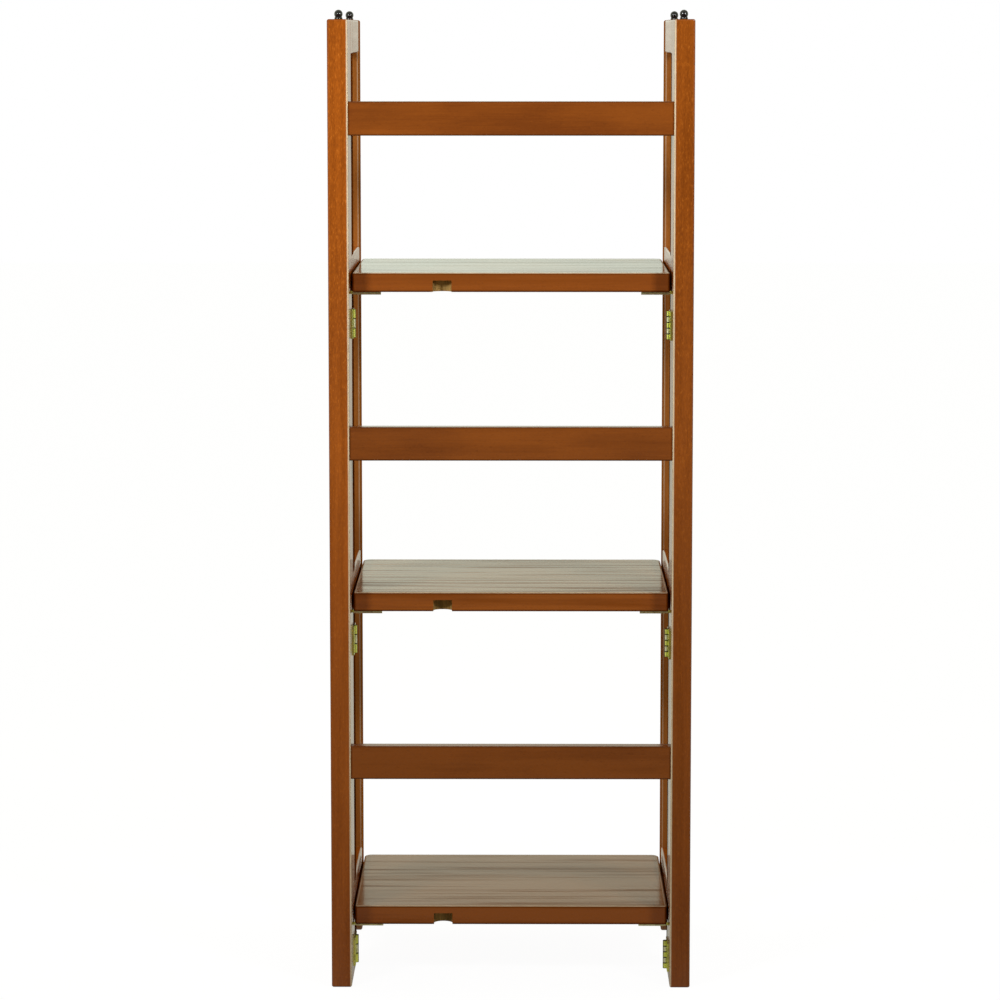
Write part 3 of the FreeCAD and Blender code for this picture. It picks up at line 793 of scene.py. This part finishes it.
def loose_solids(name):
    """The separate solids of a frame piece, each as its corner points."""
    shape = bmesh.new()
    shape.from_mesh(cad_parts[name].data)
    bmesh.ops.remove_doubles(shape, verts=shape.verts, dist=WELD)
    seen, found = set(), []
    for start in shape.verts:
        if start in seen:
            continue
        seen.add(start)
        waiting, points = [start], []
        while waiting:
            corner = waiting.pop()
            points.append(corner.co.copy())
            for edge in corner.link_edges:
                other = edge.other_vert(corner)
                if other not in seen:
                    seen.add(other)
                    waiting.append(other)
        found.append(points)
    shape.free()
    return found


def box_of(points):
    return Vector(map(min, zip(*points))), Vector(map(max, zip(*points)))


def new_piece(name, shape, material, body, slot, *stands_for):
    """Turn a built shape into a piece that rides on a body in place of frame pieces."""
    mesh = bpy.data.meshes.new(name)
    bmesh.ops.recalc_face_normals(shape, faces=shape.faces)
    shape.to_mesh(mesh)
    shape.free()
    piece = bpy.data.objects.new(name, mesh)
    bpy.context.scene.collection.objects.link(piece)
    mesh.materials.append(material)
    mesh.set_sharp_from_angle(angle=SHARP_ANGLE)
    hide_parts(*stands_for)
    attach(piece, body)


def ring(shape, radius, height, placing, count):
    """A ring of corners round the local Z of a placing."""
    step = 2 * math.pi / count
    corners = [(radius * math.cos(k * step), radius * math.sin(k * step), height) for k in range(count)]
    return [shape.verts.new(placing @ Vector(corner)) for corner in corners]


def skin(shape, rings):
    """Faces between rings that follow each other."""
    for low, high in zip(rings, rings[1:]):
        for k in range(len(low)):
            face = shape.faces.new((low[k - 1], low[k], high[k], high[k - 1]))
            face.smooth = True


def turned(shape, profile, placing, count):
    """Turn a profile of radius and height round the local Z and close its ends."""
    rings = [ring(shape, radius, height, placing, count) for radius, height in profile]
    skin(shape, rings)
    shape.faces.new(rings[0])
    shape.faces.new(rings[-1])


def cross(shape, arm, half, height, placing):
    """The twelve corners of a cross, as a loop."""
    one_arm = [Vector(at) for at in ((half, -half, height), (arm, -half, height), (arm, half, height))]
    turns = [Matrix.Rotation(k * math.pi / 2, 4, "Z") for k in range(4)]
    return [shape.verts.new(placing @ (turn @ at)) for turn in turns for at in one_arm]


def screw_placing(points):
    """Where a plain screw stands: its placing from head to tip, the head's radius and the length."""
    low, high = box_of(points)
    size = high - low
    along = max(range(3), key=lambda k: size[k])
    middle = (low + high) / 2
    spread = {end: max((p - middle).length for p in points if abs(p[along] - end) < END_MARGIN)
              for end in (low[along], high[along])}
    head_end = max(spread, key=spread.get)
    start = middle.copy()
    start[along] = head_end
    drive = Vector((0.0, 0.0, 0.0))
    drive[along] = 1.0 if head_end == low[along] else -1.0
    placing = Matrix.Translation(start) @ drive.to_track_quat("Z", "Y").to_matrix().to_4x4()
    return placing, size[(along + 1) % 3] / 2, size[along]


def countersunk_screw(shape, points, slot_width, slot_depth):
    """A flat-headed screw with a cross cut in its head, where a plain one stands in the frame."""
    placing, radius, reach = screw_placing(points)
    profile = ((FACE_SHARE * radius, 0.0), (radius, FACE_BEVEL), (SHANK_SHARE * radius, HEAD_SHARE * radius),
               (SHANK_SHARE * radius, POINT_SHARE * reach), (TIP_SHARE * radius, reach))
    rings = [ring(shape, across, height, placing, SCREW_SIDES) for across, height in profile]
    skin(shape, rings)
    shape.faces.new(rings[-1])
    mouth = cross(shape, MOUTH_SHARE * radius, slot_width / 2, 0.0, placing)
    foot = cross(shape, FOOT_SHARE * radius, SLOT_TAPER * slot_width / 2, slot_depth, placing)
    for k in range(len(mouth)):
        shape.faces.new((mouth[k - 1], mouth[k], foot[k], foot[k - 1]))
    shape.faces.new(foot)
    edges = [shape.edges.get((loop[k - 1], loop[k])) for loop in (rings[0], mouth) for k in range(len(loop))]
    bmesh.ops.triangle_fill(shape, edges=edges, use_beauty=True)


def peg_profile(ball, neck, foot, crown):
    """Radius and height of a peg from its foot to its crown, measured from the top of the post."""
    profile = [(STEM_SHARE * neck, foot), (STEM_SHARE * neck, STEM_TOP)]
    profile += [(part * ball, height) for part, height in COLLAR]
    profile.append((neck, NECK_HEIGHT))
    centre = crown - ball
    lowest = math.asin(neck / ball) - math.pi / 2 + NECK_EASE
    for k in range(BALL_STEPS):
        turn = lowest + (math.pi / 2 - lowest) * k / BALL_STEPS
        profile.append((ball * math.cos(turn), centre + ball * math.sin(turn)))
    profile.append((CROWN_SHARE * ball, centre + ball))
    return profile


# Stage

SENSOR_WIDTH = 36.0

# Floor: half its width, how far it lies under the feet, its glow, and how mirrors see it brighten away
# from the case.
FLOOR_REACH = 12.0
FLOOR_DROP = 0.0002
FLOOR_GLOW = 1.2
GLOW_SHARE = 0.8
ASIDE_SHARE = 1.2
FLOOR_MIRRORED = (-0.2, 0.35, 0.04, 0.6)

# Room, by the direction looked in: its tints from the foot of the walls up, where its back starts, and
# how mirrors see its walls, which end where its dark front starts.
ROOM_TINT = (0.94, 0.95, 0.79)
HIGH_TINT = (0.89, 1.0, 0.88)
WARM_TINT = (0.92, 0.92, 0.72)
HIGH_RANGE = (0.0, 0.06)
WARM_RANGE = (0.07, 0.15)
BACK_RANGE = (-0.25, 0.3)
WALL_RISE = (0.03, 0.26, 1.05, 0.55)
WALL_FOOT = (-0.02, 0.05, 0.72, 1.0)
WALL_SIDES = (-0.06, 0.06, 1.12, 0.94)
FRONT_RANGE = (-0.92, -0.7)
FRONT_MIRRORED = 0.05


def lay_floor(scene, stage):
    """A floor that is seen white and keeps a faint shadow."""
    shape = bmesh.new()
    bmesh.ops.create_grid(shape, x_segments=1, y_segments=1, size=FLOOR_REACH)
    mesh = bpy.data.meshes.new("floor")
    shape.to_mesh(mesh)
    shape.free()
    floor = bpy.data.objects.new("floor", mesh)
    floor.location.z = cad_box[0].z - FLOOR_DROP
    scene.collection.objects.link(floor)
    material = bpy.data.materials.new("floor_white")
    tree = emptied(material)
    path = tree.nodes.new("ShaderNodeLightPath").outputs
    seen = maths(tree, "MAXIMUM", path["Is Camera Ray"], path["Is Transmission Ray"])
    x, y, _ = axes(tree, tree.nodes.new("ShaderNodeTexCoord").outputs["Object"])
    away = maths(tree, "MULTIPLY_ADD", maths(tree, "ABSOLUTE", x), ASIDE_SHARE, y)
    mirrored = maths(tree, "MULTIPLY", path["Is Glossy Ray"], ramped(tree, away, *FLOOR_MIRRORED))
    seen = maths(tree, "MAXIMUM", seen, mirrored)
    tint = mixed(tree, path["Is Camera Ray"], opaque(ROOM_TINT), WHITE)
    paint = add(tree, "ShaderNodeBsdfDiffuse", {"Color": opaque(stage.floor)})
    glow = add(tree, "ShaderNodeEmission", {"Color": tint, "Strength": FLOOR_GLOW})
    white = add(tree, "ShaderNodeMixShader", {0: maths(tree, "MULTIPLY", seen, GLOW_SHARE),
                                              1: paint.outputs[0], 2: glow.outputs[0]})
    add(tree, "ShaderNodeOutputMaterial", {"Surface": white.outputs[0]})
    mesh.materials.append(material)


def light_room(scene, stage):
    """A room that is bright behind the case, dim in front of it, and always seen white by the camera."""
    world = bpy.data.worlds.new("studio")
    tree = emptied(world)
    x, y, z = axes(tree, tree.nodes.new("ShaderNodeTexCoord").outputs["Generated"])
    path = tree.nodes.new("ShaderNodeLightPath").outputs
    glossy = maths(tree, "MAXIMUM", path["Is Glossy Ray"], path["Is Transmission Ray"])
    wall = maths(tree, "MULTIPLY", ramped(tree, z, *WALL_RISE), ramped(tree, z, *WALL_FOOT))
    wall = maths(tree, "MULTIPLY", wall, ramped(tree, x, *WALL_SIDES))
    mirrored = blended(tree, ramped(tree, y, *FRONT_RANGE), FRONT_MIRRORED, wall)
    level = blended(tree, ramped(tree, y, *BACK_RANGE), stage.front_level, stage.back_level)
    level = blended(tree, glossy, level, mirrored)
    level = maths(tree, "MAXIMUM", level, path["Is Camera Ray"])
    tint = mixed(tree, ramped(tree, z, *HIGH_RANGE), opaque(ROOM_TINT), opaque(HIGH_TINT))
    tint = mixed(tree, ramped(tree, z, *WARM_RANGE), tint, opaque(WARM_TINT))
    tint = mixed(tree, path["Is Camera Ray"], tint, WHITE)
    light = add(tree, "ShaderNodeBackground", {"Color": tint, "Strength": level})
    add(tree, "ShaderNodeOutputWorld", {"Surface": light.outputs[0]})
    scene.world = world


def hang_lamps(scene, stage):
    """Two square lamps in front of the case, one on each side, that the camera doesn't see."""
    for name, energy, way in (("left_lamp", stage.left_power, -1.0), ("right_lamp", stage.right_power, 1.0)):
        lamp = bpy.data.lights.new(name, "AREA")
        lamp.energy = energy
        lamp.spread = stage.lamp_spread
        lamp.size = stage.lamp_size
        hung = bpy.data.objects.new(name, lamp)
        hung.visible_camera = False
        hung.location = Vector(stage.lamp_place) * Vector((way, 1.0, 1.0))
        hung.rotation_mode = "QUATERNION"
        hung.rotation_quaternion = (Vector(stage.lamp_aim) - hung.location).to_track_quat("-Z", "Y")
        scene.collection.objects.link(hung)


def stand_camera(scene, stage):
    """The camera, turned and dipped but never rolled."""
    lens = bpy.data.cameras.new("camera")
    lens.lens = stage.camera_lens
    lens.sensor_width = SENSOR_WIDTH
    camera = bpy.data.objects.new("camera", lens)
    camera.location = stage.camera_place
    level = math.cos(stage.camera_dip)
    ahead = Vector((-math.sin(stage.camera_turn) * level, math.cos(stage.camera_turn) * level,
                    -math.sin(stage.camera_dip)))
    camera.rotation_mode = "QUATERNION"
    camera.rotation_quaternion = ahead.to_track_quat("-Z", "Y")
    scene.collection.objects.link(camera)
    scene.camera = camera


# Operators

# How far in from its far edge the right hinge stile is matt and darker.
RIGHT_MATT = 0.02


class BOOKCASE_OT_uprights(bpy.types.Operator):
    """Stain the posts and stiles, whose grain runs up them"""

    bl_idname = "bookcase.uprights"
    bl_label = "Posts and Stiles"

    def execute(self, context):
        wood = context.scene.bookcase_wood
        for side in SIDES:
            # Painted shade: the right side's stains are darkened for the lesser light that falls on it.
            depth = 1.0 - wood.right_shade * (side == "right")
            light, dark = [shade(stain, depth) for stain in (wood.frame_light, wood.frame_dark)]
            post, hinge, front = [f"{side}_{part}" for part in ("post", "hinge_stile", "front_stile")]
            far = -FAR if side == "left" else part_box(hinge)[1].y - RIGHT_MATT
            # Posts: painted highlight along the inner long edges, and painted shadow on the inner face where
            # the shelf ends pass.
            dress([post], stained_wood(post, "Z", light, dark, bands=1.6, flecks_and_glints=1.0, edge_amount=1.0,
                                       plain_ends=(OUTER_END[side], "-Z", "+Z"),
                                       matt=matt_inside(side), inner=dark, dusty=True))
            # Hinge stiles: darker and matt on the inner face, and painted shadow where the shelf ends pass.
            dress([hinge], stained_wood(hinge, "Z", light, dark, flecks_and_glints=0.5,
                                        matt=matt_inside(side, whole=True, lapped=True, reach=far),
                                        inner=shade(dark, STILE_SHADE), dusty=True))
            # Front stiles: the painted reflection colour on the face turned to the slats and on the matt
            # inner face.
            dress([front], stained_wood(front, "Z", wood.frame_light, wood.frame_dark, flecks_and_glints=0.4, edge_amount=0.4,
                                        matt=matt_inside(side, whole=True), inner=wood.stile_light,
                                        dusty=True, glare_stains=(wood.stile_light, wood.stile_dark)))
        return {"FINISHED"}


class BOOKCASE_OT_slats(bpy.types.Operator):
    """Stain the slats, whose grain runs across the case"""

    bl_idname = "bookcase.slats"
    bl_label = "Slats"

    def execute(self, context):
        wood = context.scene.bookcase_wood
        for level in LEVELS:
            slat = level + "_slat"
            # The slats' edges take a darker colour and lose their lacquer.
            dress([slat], stained_wood(slat, "X", wood.slat_light, wood.slat_dark, LEVEL_TONE[level],
                                       clouds=2.2, edge_amount=0.6, dark_edges=shade(wood.slat_dark, SLAT_EDGE_SHADE)))
        return {"FINISHED"}


class BOOKCASE_OT_rails(bpy.types.Operator):
    """Stain the side rails, whose grain runs from hinge stile to front stile"""

    bl_idname = "bookcase.rails"
    bl_label = "Side Rails"

    def execute(self, context):
        wood = context.scene.bookcase_wood
        for side in SIDES:
            for rail in [f"{side}_{level}_rail" for level in RAILS]:
                # Rails: painted highlight on the edges, and painted shadow on the inner face where the shelf
                # ends pass.
                dress([rail], stained_wood(rail, "Y", wood.frame_light, wood.frame_dark,
                                           matt=matt_inside(side), inner=wood.frame_dark,
                                           dusty="top" in rail))
        return {"FINISHED"}


class BOOKCASE_OT_shelves(bpy.types.Operator):
    """Finish the shelves as glued staves with a bare notch"""

    bl_idname = "bookcase.shelves"
    bl_label = "Shelves"

    def execute(self, context):
        for level in LEVELS:
            dress([level + "_shelf"], shelf_wood(level))
        return {"FINISHED"}


class BOOKCASE_OT_dowels(bpy.types.Operator):
    """Leave the dowels as bare wood"""

    bl_idname = "bookcase.dowels"
    bl_label = "Dowels"

    def execute(self, context):
        bare = context.scene.bookcase_wood.bare
        for dowels in ("slat_dowels", "rail_dowels"):
            dress([dowels], stained_wood(dowels, "X", bare, shade(bare, DOWEL_SHADE), lacquer=0.0, edge_amount=0.0))
        return {"FINISHED"}


class BOOKCASE_OT_hinges(bpy.types.Operator):
    """Plate the side hinges, shelf pivots and their pins in brass"""

    bl_idname = "bookcase.hinges"
    bl_label = "Hinges and Pivots"

    def execute(self, context):
        fittings = context.scene.bookcase_fittings
        for side, knuckles in KNUCKLES.items():
            for leaf in [f"{side}_{level}_{owner}_leaf" for level in LEVELS for owner in ("post", "stile")]:
                plating = fittings.brass if "post" in leaf else fittings.brass_pale
                dress([leaf], metal(leaf, plating, fittings.brass_dull, gloss=0.25, wear=0.5,
                                    knuckles=knuckles))
        toned = metal("pivot_leaf", fittings.pivot, shade(fittings.pivot, PIVOT_SHADE), gloss=0.42, wear=0.7)
        dress([f"{level}_shelf_{side}_pivot_leaf" for side in SIDES for level in LEVELS], toned)
        pins = metal("pin", fittings.brass, fittings.brass_dull, gloss=0.16, wear=0.4)
        dress([side + "_hinge_pins" for side in SIDES] + [level + "_pivot_pins" for level in LEVELS], pins)
        return {"FINISHED"}


class BOOKCASE_OT_rests(bpy.types.Operator):
    """Bronze the angle rests that the shelves lie on"""

    bl_idname = "bookcase.rests"
    bl_label = "Shelf Rests"

    def execute(self, context):
        steel = context.scene.bookcase_fittings.steel
        bronzed = metal("rest", steel, shade(steel, REST_SHADE), gloss=0.3, wear=0.6)
        dress([f"{side}_{level}_rest" for side in SIDES for level in LEVELS], bronzed)
        return {"FINISHED"}


class BOOKCASE_OT_screws(bpy.types.Operator):
    """Make the screws again with a cross cut in each head"""

    bl_idname = "bookcase.screws"
    bl_label = "Screws"

    def execute(self, context):
        fittings = context.scene.bookcase_fittings
        plate = metal("screw", fittings.brass_pale, fittings.brass_dull, gloss=0.24, wear=0.8)
        sets = {"hinge_screws": "case", "rest_screws": "case"}
        sets.update((level + "_pivot_screws", level + "_shelf") for level in LEVELS)
        for name, body in sets.items():
            shape = bmesh.new()
            for points in loose_solids(name):
                countersunk_screw(shape, points, fittings.slot_width, fittings.slot_depth)
            new_piece("cross_cut_" + name, shape, plate, body, "screw_brass", name)
        return {"FINISHED"}


class BOOKCASE_OT_pegs(bpy.types.Operator):
    """Turn the ball-headed stacking pegs with their necks and collars"""

    bl_idname = "bookcase.pegs"
    bl_label = "Stacking Pegs"

    def execute(self, context):
        neck = context.scene.bookcase_fittings.peg_neck
        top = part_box("left_post")[1].z
        shape = bmesh.new()
        for points in loose_solids("stacking_pegs"):
            low, high = box_of(points)
            middle = (low + high) / 2
            ball = (high.x - low.x) / 2 - BALL_GAP
            profile = peg_profile(ball, neck, low.z - top, high.z - top)
            turned(shape, profile, Matrix.Translation((middle.x, middle.y, top)), PEG_SIDES)
        new_piece("turned_pegs", shape, peg_lacquer(), "case", "black_peg", "stacking_pegs")
        return {"FINISHED"}


class BOOKCASE_OT_stage(bpy.types.Operator):
    """Set up the floor, the light and the camera"""

    bl_idname = "bookcase.stage"
    bl_label = "Stage"

    def execute(self, context):
        stage = context.scene.bookcase_stage
        for step in (lay_floor, light_room, hang_lamps, stand_camera):
            step(context.scene, stage)
        context.scene.view_settings.view_transform = "Standard"
        return {"FINISHED"}


# Add-on

OPERATORS = (
    BOOKCASE_OT_uprights,
    BOOKCASE_OT_slats,
    BOOKCASE_OT_rails,
    BOOKCASE_OT_shelves,
    BOOKCASE_OT_dowels,
    BOOKCASE_OT_hinges,
    BOOKCASE_OT_rests,
    BOOKCASE_OT_screws,
    BOOKCASE_OT_pegs,
    BOOKCASE_OT_stage,
)
SETTINGS = {
    "bookcase_wood": BookcaseWood,
    "bookcase_fittings": BookcaseFittings,
    "bookcase_stage": BookcaseStage,
}


class BOOKCASE_PT_panel(bpy.types.Panel):
    """Sizes and colours of the bookcase, and the steps that make it"""

    bl_idname = "BOOKCASE_PT_panel"
    bl_label = "Folding Bookcase"
    bl_space_type = "VIEW_3D"
    bl_region_type = "UI"
    bl_category = "Bookcase"

    def draw(self, context):
        for name, kind in SETTINGS.items():
            box = self.layout.box()
            for setting in kind.__annotations__:
                box.prop(getattr(context.scene, name), setting)
        for operator in OPERATORS:
            self.layout.operator(operator.bl_idname)


CLASSES = (*SETTINGS.values(), *OPERATORS, BOOKCASE_PT_panel)


def register():
    for kind in CLASSES:
        bpy.utils.register_class(kind)
    for name, kind in SETTINGS.items():
        setattr(bpy.types.Scene, name, PointerProperty(type=kind))


def unregister():
    for name in SETTINGS:
        delattr(bpy.types.Scene, name)
    for kind in reversed(CLASSES):
        bpy.utils.unregister_class(kind)


def main():
    register()
    bpy.ops.bookcase.uprights()
    bpy.ops.bookcase.slats()
    bpy.ops.bookcase.rails()
    bpy.ops.bookcase.shelves()
    bpy.ops.bookcase.dowels()
    bpy.ops.bookcase.hinges()
    bpy.ops.bookcase.rests()
    bpy.ops.bookcase.screws()
    bpy.ops.bookcase.pegs()
    bpy.ops.bookcase.stage()


if __name__ == "__main__":
    main()
